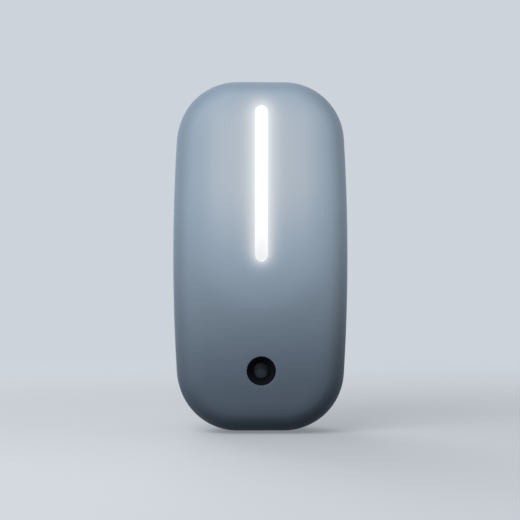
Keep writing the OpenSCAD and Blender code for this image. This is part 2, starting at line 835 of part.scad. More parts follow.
module switch_frame() {
    color([0.70, 0.71, 0.72])
        difference() {
            block([-switch_w / 2, switch_y - switch_deep / 2, switch_z],
                  [switch_w / 2, switch_y + switch_deep / 2, switch_z + frame_t]);
            block([-stem_w / 2 - switch_travel - 0.3, switch_y - stem_deep / 2 - 0.3, switch_z - over],
                  [stem_w / 2 + switch_travel + 0.3, switch_y + stem_deep / 2 + 0.3, switch_z + over]);
        }
}

module switch_knob() {
    block_z = switch_z + frame_t + 0.2;
    cap_z = floor_z - knob_out;
    rib = knob_w / 7;
    color([0.10, 0.10, 0.11])
        difference() {
            union() {
                block([-block_w / 2, switch_y - block_deep / 2, block_z],
                      [block_w / 2, switch_y + block_deep / 2, block_z + block_tall]);
                block([-stem_w / 2, switch_y - stem_deep / 2, switch_z - 0.3],
                      [stem_w / 2, switch_y + stem_deep / 2, block_z + eps]);
                block([-knob_w / 2, switch_y - knob_deep / 2, cap_z],
                      [knob_w / 2, switch_y + knob_deep / 2, switch_z - 0.2]);
            }
            for (i = [-1 : 1]) block([i * 2 * rib - rib / 2, switch_y - knob_deep, cap_z - over],
                                     [i * 2 * rib + rib / 2, switch_y + knob_deep, cap_z + 0.4]);
        }
}

module switch_terminals() {
    top = switch_z + switch_tall;
    color([0.78, 0.76, 0.68])
        for (x = terminal_x) block([x - 0.3, switch_y - 0.25, top - 1], [x + 0.3, switch_y + 0.25, top + terminal_l]);
}

module switch_leads() {
    low = switch_z + switch_tall + terminal_l;
    board_z = driver_z - driver_h / 2 + 2;
    color([0.80, 0.80, 0.80])
        for (x = [terminal_x[0], terminal_x[1], terminal_x[3]])
            wire([x, switch_y, low], [x, switch_y, low + 4],
                 [x * 1.1, switch_y, board_z], [x * 1.1, driver_back_y, board_z], switch_lead_d);
}

// ---------------------------------------------------------------- nodes

front_cover();
rear_housing();
rear_window();
plug_body();
light_bar();
light_channel();
rear_reflector();
led_board();
front_leds();
rear_leds();
led_board_screws();
sensor_cup();
photocell();
sensor_shroud();
driver_board();
board_screws();
film_capacitor();
smoothing_capacitor();
bridge_rectifier();
driver_chip();
fuse_resistor();
surge_varistor();
chip_resistors();
plug_pin(-pin_x);  // plug_pin_left
plug_pin(pin_x);  // plug_pin_right
pin_sleeve(-pin_x);  // pin_sleeve_left
pin_sleeve(pin_x);  // pin_sleeve_right
live_lead();
neutral_lead();
led_lead_positive();
led_lead_negative();
switch_knob();
switch_body();
switch_frame();
switch_terminals();
switch_leads();
housing_screws();
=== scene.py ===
# %% [markdown]
# # A plug in night light, dressed piece by piece
#
# The light is an upright box of satin plastic that hangs on a wall socket. A lit bar shows through a
# slot in its face, a light sensor looks out of a small hole below it, and a milky window round the
# back throws more light onto the wall. The solids are already made and packed. This notebook gives
# them their finishes, and builds finer pieces where a solid is too plain.
#
# Each solid is a node of the imported model. We load them first, and keep the size of the whole light,
# which sets where the floor lies.

# %% Load the solids
import math

import bmesh
import bpy
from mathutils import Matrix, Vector
from mathutils.geometry import delaunay_2d_cdt


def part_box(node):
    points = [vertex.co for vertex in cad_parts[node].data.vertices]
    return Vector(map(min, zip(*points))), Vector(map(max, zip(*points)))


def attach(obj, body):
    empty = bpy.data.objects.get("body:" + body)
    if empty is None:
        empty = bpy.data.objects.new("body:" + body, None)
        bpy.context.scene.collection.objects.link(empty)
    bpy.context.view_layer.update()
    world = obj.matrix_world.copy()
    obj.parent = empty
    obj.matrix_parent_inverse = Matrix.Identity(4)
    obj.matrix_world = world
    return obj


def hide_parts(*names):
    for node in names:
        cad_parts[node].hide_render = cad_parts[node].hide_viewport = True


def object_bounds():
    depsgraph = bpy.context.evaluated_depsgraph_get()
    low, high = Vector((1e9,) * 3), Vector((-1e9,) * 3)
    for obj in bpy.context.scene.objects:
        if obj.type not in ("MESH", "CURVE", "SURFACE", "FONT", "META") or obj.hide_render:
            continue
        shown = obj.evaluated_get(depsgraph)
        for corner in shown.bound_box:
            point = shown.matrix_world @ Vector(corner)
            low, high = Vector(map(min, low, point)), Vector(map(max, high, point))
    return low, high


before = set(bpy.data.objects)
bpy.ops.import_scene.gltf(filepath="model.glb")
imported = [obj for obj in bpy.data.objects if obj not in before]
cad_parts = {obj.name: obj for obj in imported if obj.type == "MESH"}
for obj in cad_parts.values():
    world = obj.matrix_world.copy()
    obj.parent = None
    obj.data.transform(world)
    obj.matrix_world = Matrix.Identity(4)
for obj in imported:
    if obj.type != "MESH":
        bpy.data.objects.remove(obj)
cad_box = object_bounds()
MM = 0.001
print("solids:", len(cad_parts), "box in mm:", [round(c / MM, 1) for v in cad_box for c in v])

# %% [markdown]
# ## The camera
#
# The camera looks from straight ahead, from about 0.6 m, which is why the face looks a little larger
# than the rim behind it. It stands slightly to the left of the light's middle, so the face shifts a
# little to the right of the rim. A long lens from further away would hide both.

# %% The camera
LENS = 114.3
CAMERA_AT = Vector((-11.5, -630, 27.7)) * MM
CAMERA_AIM = Vector((0, -30, 27.7)) * MM

scene = bpy.context.scene
camera = bpy.data.objects.new("camera", bpy.data.cameras.new("camera"))
camera.data.lens = LENS
camera.location = CAMERA_AT
camera.rotation_euler = (CAMERA_AIM - CAMERA_AT).to_track_quat("-Z", "Y").to_euler()
scene.collection.objects.link(camera)
scene.camera = camera
scene.view_settings.view_transform = "Standard"
print("camera at", [round(c / MM) for c in CAMERA_AT])

# %% [markdown]
# ## Colours and nodes
#
# A colour is written as sRGB hex, as a paint chart gives it, and Blender works in linear light, so
# one function turns the first into the second. Materials are made of nodes. One small function adds
# any node: it takes the node's type without the ShaderNode in front, the values or the links of its
# sockets, and its own settings. A node can be given as it is where its first output is meant.

# %% Colour and node helpers
# Sockets of a colour Mix node, whose names repeat: its factor, its two colours and its result
FACTOR, COLOUR_A, COLOUR_B, RESULT = 0, 6, 7, 2


def linear(hex_colour):
    """An sRGB hex colour as linear red, green, blue and an alpha of 1."""
    shares = [int(hex_colour[i : i + 2], 16) / 255 for i in (1, 3, 5)]
    return [s / 12.92 if s <= 0.04045 else ((s + 0.055) / 1.055) ** 2.4 for s in shares] + [1.0]


def add(tree, kind, sockets=None, **settings):
    """Adds a shader node to tree. Each input gets a value, a node's output or a whole node."""
    node = tree.nodes.new("ShaderNode" + kind)
    for name, value in settings.items():
        setattr(node, name, value)
    for socket, value in (sockets or {}).items():
        if isinstance(value, bpy.types.Node):
            value = value.outputs[0]
        if isinstance(value, bpy.types.NodeSocket):
            tree.links.new(value, node.inputs[socket])
        else:
            node.inputs[socket].default_value = value
    return node


def blank(name):
    """A new material with an empty node tree."""
    material = bpy.data.materials.new(name)
    material.use_nodes = True
    material.node_tree.nodes.clear()
    return material, material.node_tree


print("white is", linear("#FFFFFF"))

# %% [markdown]
# ## The studio
#
# The light stands on its lower edge on a pale floor. Far from it the floor gives way to the colour of
# the background, so that no horizon shows. Only what the eye sees, straight or in a reflection, gets
# that colour, so it adds no light to the object. A plug in light hangs clear of any floor, so this one
# throws little light back up at it: the paint is pale to the eye and dark to light that bounces. The
# floor has one side only, which leaves the underside of the light in view from below.

# %% The floor
BACKGROUND = "#CDD3DA"
FLOOR_COLOUR, BOUNCE_COLOUR = "#D3D7DC", "#3C3F43"
FLOOR_RADIUS = 8.0
FADE_FROM, FADE_TO, LEAST_FADE = 0.05, 0.42, 0.35


def seen_by_eye(tree):
    """1 for what is seen straight, mirrored or through something clear, and 0 for any other light."""
    way = add(tree, "LightPath").outputs
    mirrored = add(tree, "Math",
                   {0: way["Is Glossy Ray"], 1: way["Is Transmission Ray"]}, operation="MAXIMUM")
    return add(tree, "Math", {0: way["Is Camera Ray"], 1: mirrored}, operation="MAXIMUM")


def made_of(shape, name):
    """A new object in the scene, made of a bmesh shape."""
    thing = bpy.data.objects.new(name, bpy.data.meshes.new(name))
    shape.to_mesh(thing.data)
    shape.free()
    scene.collection.objects.link(thing)
    return thing


floor_material, tree = blank("painted_floor")
place = add(tree, "NewGeometry")
flat = add(tree, "VectorMath", {0: place.outputs["Position"], 1: (1, 1, 0)}, operation="MULTIPLY")
away = add(tree, "VectorMath", {0: flat}, operation="LENGTH")
fade = add(tree, "MapRange",
           {"Value": away.outputs["Value"], "From Min": FADE_FROM, "From Max": FADE_TO,
            "To Min": LEAST_FADE}, interpolation_type="SMOOTHSTEP")
seen = seen_by_eye(tree)
shown = add(tree, "Math", {0: fade, 1: seen}, operation="MULTIPLY")
paint = add(tree, "BsdfPrincipled", {"Base Color": linear(FLOOR_COLOUR), "Roughness": 0.75})
dull = add(tree, "BsdfDiffuse", {"Color": linear(BOUNCE_COLOUR)})
ground = add(tree, "MixShader", {0: seen, 1: dull, 2: paint})
haze = add(tree, "Emission", {"Color": linear(BACKGROUND), "Strength": 1.0})
top = add(tree, "MixShader", {0: shown, 1: ground, 2: haze})
camera_ray = add(tree, "LightPath").outputs["Is Camera Ray"]
below = add(tree, "Math", {0: place.outputs["Backfacing"], 1: camera_ray}, operation="MULTIPLY")
clear = add(tree, "BsdfTransparent")
side = add(tree, "MixShader", {0: below, 1: top, 2: clear})
add(tree, "OutputMaterial", {"Surface": side})

shape = bmesh.new()
bmesh.ops.create_circle(shape, cap_ends=True, segments=96, radius=FLOOR_RADIUS)
floor = made_of(shape, "floor")
floor.location.z = cad_box[0].z
floor.data.materials.append(floor_material)
print("floor at", round(floor.location.z / MM, 1), "mm")

# %% [markdown]
# ## The lamps
#
# One soft lamp stands in front on the left, close enough that the top of the light gets more of it
# than the foot, and another one lights the back. From the front, the back lamp would draw a bright line
# along the cover's edge, because plastic shines like a mirror where the eye grazes it, so that lamp is
# left out of the gloss. The world fills the shadows. Together they are about as bright as daylight on
# paper, so a colour comes out about as it is written.

# %% The lamps
FILL = 0.20
KEY_AT, KEY_AIM, KEY_WATTS, KEY_SIZE = (-0.16, -0.30, 0.24), (0.0, -0.05, 0.05), 1.10, 0.30
BACK_AT, BACK_AIM, BACK_WATTS, BACK_SIZE = (-0.30, 0.90, 0.30), (0.0, 0.0, 0.03), 11.0, 0.60


def soft_lamp(name, at, aim, watts, size, mirrored=True):
    """A square soft lamp at a place, turned to a point. One that isn't mirrored shows in no gloss."""
    lamp = bpy.data.objects.new(name, bpy.data.lights.new(name, "AREA"))
    lamp.data.energy = watts
    lamp.data.size = size
    lamp.location = at
    lamp.visible_glossy = mirrored
    lamp.rotation_euler = (Vector(aim) - Vector(at)).to_track_quat("-Z", "Y").to_euler()
    scene.collection.objects.link(lamp)


soft_lamp("key_lamp", KEY_AT, KEY_AIM, KEY_WATTS, KEY_SIZE)
soft_lamp("back_lamp", BACK_AT, BACK_AIM, BACK_WATTS, BACK_SIZE, mirrored=False)

world = bpy.data.worlds.new("studio")
scene.world = world
world.use_nodes = True
tree = world.node_tree
tree.nodes.clear()
fill = add(tree, "Background", {"Color": linear("#F4F7FB"), "Strength": FILL})
haze = add(tree, "Background", {"Color": linear(BACKGROUND), "Strength": 1.0})
both = add(tree, "MixShader", {0: seen_by_eye(tree), 1: fill, 2: haze})
add(tree, "OutputWorld", {"Surface": both})
print("lamps:", KEY_WATTS, "and", BACK_WATTS, "W")

# %% [markdown]
# ## Moulded plastic
#
# Most of the light is moulded plastic. The steel mould is spark eroded, which leaves a fine even grain
# on the part, so the eye sees a soft sheen in place of a sharp reflection. Real grain is about a tenth
# of a millimetre, too fine to show, so it is drawn a few times coarser. The colour is never perfectly
# even: it drifts a little over some centimetres, as pellets and colour mix in the melt. One function
# makes all of them, from two close colours, how rough they are, and the grain's size and depth. The
# housing is ABS, a tough common plastic, with a satin finish.

# %% Moulded plastic
DRIFT_LENGTH, GLOSS_DRIFT, GRAIN_SHARE = 22 * MM, 0.06, 0.5


def moulded(name, colour, shade, roughness, grain, depth, **sockets):
    """A moulded plastic that drifts from colour to shade, with a grain of that size and depth."""
    material, tree = blank(name)
    place = add(tree, "TexCoord").outputs["Object"]
    drift = add(tree, "TexNoise", {"Vector": place, "Scale": 1 / DRIFT_LENGTH, "Detail": 2.0})
    tint = add(tree, "Mix",
               {FACTOR: drift, COLOUR_A: linear(colour), COLOUR_B: linear(shade)}, data_type="RGBA")
    sparks = add(tree, "TexNoise", {"Vector": place, "Scale": 1 / grain, "Detail": 1.5})
    gloss = add(tree, "MapRange",
                {"Value": sparks, "To Min": roughness - GLOSS_DRIFT, "To Max": roughness + GLOSS_DRIFT})
    bumps = add(tree, "Bump", {"Height": sparks, "Strength": GRAIN_SHARE, "Distance": depth})
    shader = add(tree, "BsdfPrincipled",
                 {"Base Color": tint.outputs[RESULT], "Roughness": gloss,
                  "Normal": bumps, **{k.replace("_", " "): v for k, v in sockets.items()}},
                 name="finish")
    add(tree, "OutputMaterial", {"Surface": shader})
    return material


def position(tree):
    """The X, Y and Z of a point of the surface, as three outputs."""
    place = add(tree, "TexCoord").outputs["Object"]
    return add(tree, "SeparateXYZ", {0: place}).outputs


def paint_where(material, mask, colour):
    """Gives a finish another colour where the mask is 1."""
    tree = material.node_tree
    base = tree.nodes["finish"].inputs["Base Color"]
    tint = add(tree, "Mix",
               {FACTOR: mask, COLOUR_A: base.links[0].from_socket, COLOUR_B: linear(colour)},
               data_type="RGBA")
    tree.links.new(tint.outputs[RESULT], base)


housing_satin = moulded("satin_housing_abs", "#8C98A5", "#8692A0", 0.42, 0.45 * MM, 0.02 * MM, IOR=1.53)
print("made", housing_satin.name)

# %% [markdown]
# ## The cover's plastic, with light in it
#
# The cover is the same plastic with a duller finish, cool in colour and thin enough to let light
# through. Its colour is written darker than the housing's: that is painted shade, for the dim foot of
# the face. Close to the slot the wall carries the bar's light sideways, so a halo fades out over a few
# millimetres. The upper half of the face is brighter than its foot: partly the LEDs behind it, and
# partly painted light, for light that falls off down the face. True light scattering in so thin a wall
# is slow to render and hard to control. So the halo is worked out from the distance to the slot, as
# light in the wall spreads. The glow is worked out from the height, the distance to the slot and where
# the wall turns back, and its fading at the top and round the edges is painted shade. Both are added to
# the plastic as a faint emission.

# %% The cover's plastic
bar_lo, bar_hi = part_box("light_bar")
SLOT_W, SLOT_L = 4.3 * MM, 54.5 * MM
slot_z = (bar_lo.z + bar_hi.z) / 2
HALO_REACH, HALO_LIGHT = 2.04 * MM, 1.01
HALO_FOOT_FROM, HALO_FOOT_TO, HALO_FOOT_SHARE = 0.0, 4.8 * MM, 0.77
HALO_TOP_FROM, HALO_TOP_SHARE = -3.8 * MM, 0.86
GLOW_FROM, GLOW_TO, GLOW_LIGHT = -26.5 * MM, 57.7 * MM, 0.387
GLOW_NEAR, GLOW_FAR, GLOW_FAR_SHARE = 13.1 * MM, 25.7 * MM, 0.776
GLOW_TOP_FROM, GLOW_TOP_TO, GLOW_TOP_SHARE = 76.7 * MM, 85.1 * MM, 0.92
FACE_AT, TURN_AT, TURN_SHARE = -55.2 * MM, -50.7 * MM, 0.67
FAINT_COLOUR, STRONG_COLOUR, PALE_FROM, PALE_TO = "#D2E8FB", "#FAFCFE", 0.26, 0.497

# The cover's colour is written darker than the housing's, though it is the same plastic: painted shade,
# which keeps the foot of the face dark
cover_satin = moulded("satin_cover_abs", "#667484", "#617080", 0.6, 0.45 * MM, 0.02 * MM,
                      IOR=1.53, Specular_IOR_Level=0.25)
tree = cover_satin.node_tree
x, y, z = position(tree)
slot_foot = slot_z - SLOT_L / 2
along = add(tree, "Clamp",
            {"Value": z, "Min": slot_foot + SLOT_W / 2, "Max": slot_foot + SLOT_L - SLOT_W / 2})
past = add(tree, "Math", {0: z, 1: along}, operation="SUBTRACT")
across = add(tree, "CombineXYZ", {"X": x, "Z": past})
away = add(tree, "VectorMath", {0: across}, operation="LENGTH").outputs["Value"]
print("slot from", round(slot_foot / MM, 1), "to", round((slot_foot + SLOT_L) / MM, 1), "mm up")

# %% The halo: it halves every millimetre and a half or so, and is weaker round the bar's ends


def eased(light, place, start, end, share, end_share):
    """A light times a share that runs smoothly to end_share as place goes from start to end."""
    tree = light.id_data
    step = add(tree, "MapRange", {"Value": place, "From Min": start, "From Max": end, "To Min": share,
                                  "To Max": end_share}, interpolation_type="SMOOTHSTEP")
    return add(tree, "Math", {0: light, 1: step}, operation="MULTIPLY")


lengths = add(tree, "Math", {0: away, 1: -1 / HALO_REACH}, operation="MULTIPLY")
halo = add(tree, "Math", {0: lengths}, operation="EXPONENT")
halo = eased(halo, z, slot_foot + HALO_FOOT_FROM, slot_foot + HALO_FOOT_TO,
             HALO_FOOT_SHARE * HALO_LIGHT, HALO_LIGHT)
halo = eased(halo, z, slot_foot + SLOT_L + HALO_TOP_FROM, slot_foot + SLOT_L, 1.0, HALO_TOP_SHARE)
print("halo halves every", round(HALO_REACH * math.log(2) / MM, 1), "mm")

# %% The glow, partly painted light: it fades down the face, towards the sides and the top, and where the wall turns back, the last two as painted shade
glow = add(tree, "MapRange", {"Value": z, "From Min": GLOW_FROM, "From Max": GLOW_TO,
                              "To Max": GLOW_LIGHT}, interpolation_type="SMOOTHSTEP")
glow = eased(glow, away, GLOW_NEAR, GLOW_FAR, 1.0, GLOW_FAR_SHARE)
glow = eased(glow, y, FACE_AT, TURN_AT, 1.0, TURN_SHARE)
glow = eased(glow, z, GLOW_TOP_FROM, GLOW_TOP_TO, 1.0, GLOW_TOP_SHARE)
print("glow rises over", round((GLOW_TO - GLOW_FROM) / MM), "mm")

# %% The two together: faint light has the plastic's cool tint, and strong light looks nearly white
strength = add(tree, "Math", {0: halo, 1: glow}, operation="ADD")
pale = add(tree, "MapRange",
           {"Value": strength, "From Min": PALE_FROM, "From Max": PALE_TO},
           interpolation_type="SMOOTHSTEP")
tint = add(tree, "Mix",
           {FACTOR: pale, COLOUR_A: linear(FAINT_COLOUR), COLOUR_B: linear(STRONG_COLOUR)},
           data_type="RGBA")
light = add(tree, "VectorMath", {0: tint.outputs[RESULT], "Scale": strength}, operation="SCALE")
finish = tree.nodes["finish"]
tree.links.new(light.outputs[0], finish.inputs["Emission Color"])
finish.inputs["Emission Strength"].default_value = 1.0
print("made", cover_satin.name)

# %% [markdown]
# ## Lit milky plastic
#
# The bar in the slot and the window round the back are opal polycarbonate: clear plastic with a
# little white powder in it, which spreads the light of the LEDs until no single LED shows. The eye
# reads them as bright and flat, with a slight gloss. The bar is far brighter than anything round it,
# and only its foot, past the last LED, is a trace dimmer.

# %% The lit bar
BAR_LIGHT, DIM_LIGHT, FOOT_LIGHT = 0.62, 0.44, 0.29
DIM_REACH, BAR_REACH = 9 * MM, 22 * MM


def light_up(material, colour, strength):
    """Gives a finish a light of its own, as strong as the node strength says."""
    tree = material.node_tree
    finish = tree.nodes["finish"]
    finish.inputs["Emission Color"].default_value = linear(colour)
    tree.links.new(strength.outputs[0], finish.inputs["Emission Strength"])


bar_opal = moulded("lit_opal_bar", "#F4F6F8", "#F0F3F6", 0.22, 0.5 * MM, 0.005 * MM, IOR=1.58)
tree = bar_opal.node_tree
z = position(tree)["Z"]
foot = add(tree, "MapRange",
           {"Value": z, "From Min": slot_foot, "From Max": slot_foot + DIM_REACH,
            "To Min": FOOT_LIGHT, "To Max": DIM_LIGHT})
rise = add(tree, "MapRange",
           {"Value": z, "From Min": slot_foot + DIM_REACH, "From Max": slot_foot + BAR_REACH,
            "To Max": BAR_LIGHT - DIM_LIGHT}, interpolation_type="SMOOTHSTEP")
lit = add(tree, "Math", {0: foot, 1: rise}, operation="ADD")
light_up(bar_opal, "#FFFEFC", lit)
print("made", bar_opal.name)

# %% [markdown]
# The window's LEDs stand in two columns behind it. Opal plastic blurs them, so what is left is a soft
# rise and fall of brightness along the window, strongest level with the LEDs.

# %% The rear window
window_lo, window_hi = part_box("rear_window")
WINDOW_LIGHT, END_SHARE = 0.32, 0.55
window_z = (window_lo.z + window_hi.z) / 2
window_reach = (window_hi.z - window_lo.z) / 2

window_opal = moulded("lit_opal_window", "#B3BFCB", "#ABB7C4", 0.28, 0.5 * MM, 0.006 * MM, IOR=1.58)
tree = window_opal.node_tree
from_middle = add(tree, "Math", {0: position(tree)["Z"], 1: window_z}, operation="SUBTRACT")
share = add(tree, "Math", {0: from_middle, 1: 1 / window_reach}, operation="MULTIPLY")
square = add(tree, "Math", {0: share, 1: 2.0}, operation="POWER")
lit = add(tree, "MapRange",
          {"Value": square, "To Min": WINDOW_LIGHT, "To Max": END_SHARE * WINDOW_LIGHT})
light_up(window_opal, "#E4F0FF", lit)
print("made", window_opal.name)

# %% [markdown]
# ## Metal
#
# The pins are turned from brass and nickel plated, so fine rings from the lathe stay under a bright,
# slightly warm plate. The screws are zinc plated steel, a little duller and bluer, with a cloudy
# plate. The switch's frame is stamped from tinned sheet and its terminals are tin plated brass, both
# pale and faintly lined by the rolls. One function makes them all: a metal colour, a cloudy change of
# gloss, and lines at the real pitch of the tool marks, drawn across one axis.

# %% Metals
LEAST_ROUGH, MOST_ROUGH = 0.7, 1.3
# From one band of a wave texture to the next, at a scale of 1
WAVE_PERIOD = math.pi / 10


def plated(name, colour, shade, roughness, cloud, line_pitch, line_depth, line_axis="Y"):
    """A plated metal with a cloudy gloss and tool marks at line_pitch across line_axis."""
    material, tree = blank(name)
    place = add(tree, "TexCoord").outputs["Object"]
    clouds = add(tree, "TexNoise", {"Vector": place, "Scale": 1 / cloud, "Detail": 3.0})
    tint = add(tree, "Mix",
               {FACTOR: clouds, COLOUR_A: linear(colour), COLOUR_B: linear(shade)}, data_type="RGBA")
    gloss = add(tree, "MapRange",
                {"Value": clouds, "To Min": roughness * LEAST_ROUGH, "To Max": roughness * MOST_ROUGH})
    marks = add(tree, "TexWave",
                {"Vector": place, "Scale": WAVE_PERIOD / line_pitch, "Distortion": 0.6, "Detail": 1.0},
                bands_direction=line_axis)
    bumps = add(tree, "Bump", {"Height": marks.outputs["Fac"], "Strength": 0.4, "Distance": line_depth})
    shader = add(tree, "BsdfPrincipled",
                 {"Base Color": tint.outputs[RESULT], "Roughness": gloss,
                  "Normal": bumps, "Metallic": 1.0}, name="finish")
    add(tree, "OutputMaterial", {"Surface": shader})
    return material


nickel = plated("nickel_plated_brass", "#CFCBC2", "#C2BEB5", 0.22, 3 * MM, 0.25 * MM, 0.004 * MM)
zinc = plated("zinc_plated_steel", "#C3C8CE", "#AEB4BC", 0.34, 0.8 * MM, 0.3 * MM, 0.003 * MM)
tinned_sheet = plated("tinned_steel_sheet", "#C2C4C6", "#B2B5B8",
                      0.32, 1.5 * MM, 0.2 * MM, 0.002 * MM, "X")
tin_plate = plated("tin_plated_brass", "#C9C6BE", "#B9B6AE", 0.30, 0.6 * MM, 0.2 * MM, 0.002 * MM, "Z")
print("metals:", nickel.name, zinc.name, tinned_sheet.name, tin_plate.name)

# %% [markdown]
# ## How a piece joins the light
#
# A new piece is a mesh that stands for one of the solids. It rides on a body, hides the solid it
# stands for, and takes the finish it is given. Its faces are smooth except where two meet at a real
# corner.

# %% Showing a piece


def show(name, shape, material, solid, body="light", corner=40):
    """Makes a piece of the bmesh shape, in place of a solid. Angles above corner degrees stay sharp."""
    bmesh.ops.recalc_face_normals(shape, faces=shape.faces)
    piece = made_of(shape, name)
    piece.data.shade_smooth()
    piece.data.set_sharp_from_angle(angle=math.radians(corner))
    piece.data.materials.append(material)
    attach(piece, body)
    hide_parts(solid)
    print(name, "faces:", len(piece.data.polygons))
    return piece


def bridge(shape, loop, next_loop):
    """Joins two closed loops of as many vertices by a band of four-sided faces."""
    n = len(loop)
    for i in range(n):
        j = (i + 1) % n
        shape.faces.new((loop[i], loop[j], next_loop[j], next_loop[i]))


# %% [markdown]
# ## The cover's outline
#
# Seen from the front, the cover is a rounded rectangle whose long sides bow out slightly. Each side is
# an arc of a very large circle, which runs into the arc of a corner with no kink. Working the corner's
# centre out from the two radii keeps it that way for every inset, so the same function gives the rim,
# the edge of the face and the inside of the wall.

# %% The cover's outline
cover_lo, cover_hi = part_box("front_cover")
HALF_W = (cover_hi.x - cover_lo.x) / 2
HALF_H = (cover_hi.z - cover_lo.z) / 2
middle_z = (cover_hi.z + cover_lo.z) / 2
CORNER_R = 22 * MM
SIDE_BOW = 1.2 * MM
SIDE_STEPS, CORNER_STEPS, TOP_STEPS = 10, 22, 5

corner_z = HALF_H - CORNER_R
bow_r = (corner_z**2 + SIDE_BOW**2) / (2 * SIDE_BOW)
bow_x = HALF_W - bow_r
corner_x = bow_x + math.sqrt((bow_r - CORNER_R) ** 2 - corner_z**2)
bow_angle = math.asin(corner_z / (bow_r - CORNER_R))


def outline(inset):
    """The cover's outline moved in by inset, as (x, z) from its middle, round from the right side."""
    quarter = []
    for i in range(SIDE_STEPS):
        a = bow_angle * i / SIDE_STEPS
        quarter.append((bow_x + (bow_r - inset) * math.cos(a), (bow_r - inset) * math.sin(a)))
    for i in range(CORNER_STEPS):
        a = bow_angle + (math.pi / 2 - bow_angle) * i / CORNER_STEPS
        quarter.append((corner_x + (CORNER_R - inset) * math.cos(a),
                        corner_z + (CORNER_R - inset) * math.sin(a)))
    for i in range(TOP_STEPS + 1):
        quarter.append((corner_x * (1 - i / TOP_STEPS), HALF_H - inset))
    back = quarter[::-1]
    return (quarter[:-1] + [(-u, v) for u, v in back[:-1]]
            + [(-u, -v) for u, v in quarter[:-1]] + [(u, -v) for u, v in back[:-1]])


print("points round the outline:", len(outline(0)))

# %% [markdown]
# ## The cover's form
#
# From the rim the wall leans in slightly, so that it leaves the mould, then rounds over a long soft
# edge into a face that is crowned by two millimetres. The edge is a quarter of a superellipse, squarer
# than a circle, with a longer reach along the wall than across the face. A level of the form is three
# numbers: how far in it lies, how far forward, and how much of the crown it has.

# %% The cover's form
COVER_D, WALL, CROWN, DRAFT = cover_hi.y - cover_lo.y, 2 * MM, 2.2 * MM, 0.6 * MM
EDGE_IN, EDGE_OUT, EDGE_POWER, EDGE_STEPS = 9 * MM, 12 * MM, 2.3, 26
RIM_ROUND, RIM_INNER_ROUND = 0.3 * MM, 0.2 * MM
FACE_EDGE = 7.2 * MM
rim_y = cover_hi.y


def crown_at(u, v):
    """How far the crowned face stands forward at (u, v) from its middle."""
    return CROWN * (1 - (u / HALF_W) ** 2) * (1 - (v / HALF_H) ** 2)


def inset_at(u, v):
    """How far inside the outline (u, v) lies."""
    u, v = abs(u), abs(v)
    if u > corner_x and v > (u - bow_x) * math.tan(bow_angle):
        return CORNER_R - math.hypot(u - corner_x, v - corner_z)
    return min(HALF_H - v, bow_r - math.hypot(u - bow_x, v))


def rounded(inset, wall):
    """Depth of the rounded edge at an inset from the outline, and its share of the crown, wall deep."""
    left = max(0.0, 1 - (inset - wall - DRAFT) / (EDGE_IN - wall)) ** (EDGE_POWER / 2)
    out = math.sqrt(max(0.0, 1 - left**2)) ** (2 / EDGE_POWER)
    return COVER_D - wall - CROWN - (EDGE_OUT - wall) * (1 - out), out


def form_y(u, v, wall=0.0):
    """The y of the cover's form above (u, v): of its outside, or of the inside of a wall that thick."""
    depth, share = rounded(inset_at(u, v), wall)
    return rim_y - depth - share * crown_at(u, v)


def edge_levels(wall):
    """Levels of the rounded edge from the wall to where the face begins, wall deep."""
    insets = []
    for i in range(EDGE_STEPS + 1):
        a = math.pi / 2 * (i / EDGE_STEPS)
        insets.append(wall + DRAFT + (EDGE_IN - wall) * (1 - math.cos(a) ** (2 / EDGE_POWER)))
    return [(inset, *rounded(inset, wall)) for inset in insets if inset < FACE_EDGE]


def rim_levels():
    """The rim's two rounded corners and the flat between them, from the outside in."""
    turns = [math.radians(a) for a in (0, 22.5, 45, 67.5, 90)]
    outer = [(RIM_ROUND * (1 - math.cos(a)), RIM_ROUND * (1 - math.sin(a)), 0) for a in turns]
    inner = [(WALL - RIM_INNER_ROUND * (1 - math.sin(a)), RIM_INNER_ROUND * (1 - math.cos(a)), 0)
             for a in turns]
    return outer + inner


def ring_at(shape, level):
    """A ring of vertices at a level of the cover."""
    inset, depth, share = level
    return [shape.verts.new((u, rim_y - depth - share * crown_at(u, v), middle_z + v))
            for u, v in outline(inset)]


levels = edge_levels(0)[::-1] + rim_levels() + edge_levels(WALL)
print("levels from the face round the rim to the inside:", len(levels))

# %% [markdown]
# ## The slot and the sensor hole
#
# A moulded opening has a small rounded lip, and that lip is what catches the light. Each opening is a
# set of loops that follow one curve: the lip turns down from the face, and the last loop lies on the
# inside of the wall. The slot is two straight sides and two half circles, and the hole is a circle.

# %% The slot and the sensor hole
cup_lo, cup_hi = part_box("sensor_cup")
sensor_z = (cup_lo.z + cup_hi.z) / 2
HOLE_D = 10.2 * MM
LIP = 0.2 * MM
LIP_STEPS = 4


def slot_loop(offset):
    """The slot's edge moved outwards by offset, as (x, z) from the cover's middle."""
    r, reach, turns, sides = SLOT_W / 2 + offset, (SLOT_L - SLOT_W) / 2, 18, 24
    right = [(r, reach * (2 * i / sides - 1)) for i in range(sides)]
    top = [(r * math.cos(math.pi * i / turns), reach + r * math.sin(math.pi * i / turns))
           for i in range(turns)]
    half = right + top
    return [(u, v + slot_z - middle_z) for u, v in half + [(-u, -v) for u, v in half]]


def hole_loop(offset):
    """The sensor hole's edge moved outwards by offset, as (x, z) from the cover's middle."""
    r, turns = HOLE_D / 2 + offset, 72
    angles = [2 * math.pi * i / turns for i in range(turns)]
    return [(r * math.cos(a), r * math.sin(a) + sensor_z - middle_z) for a in angles]


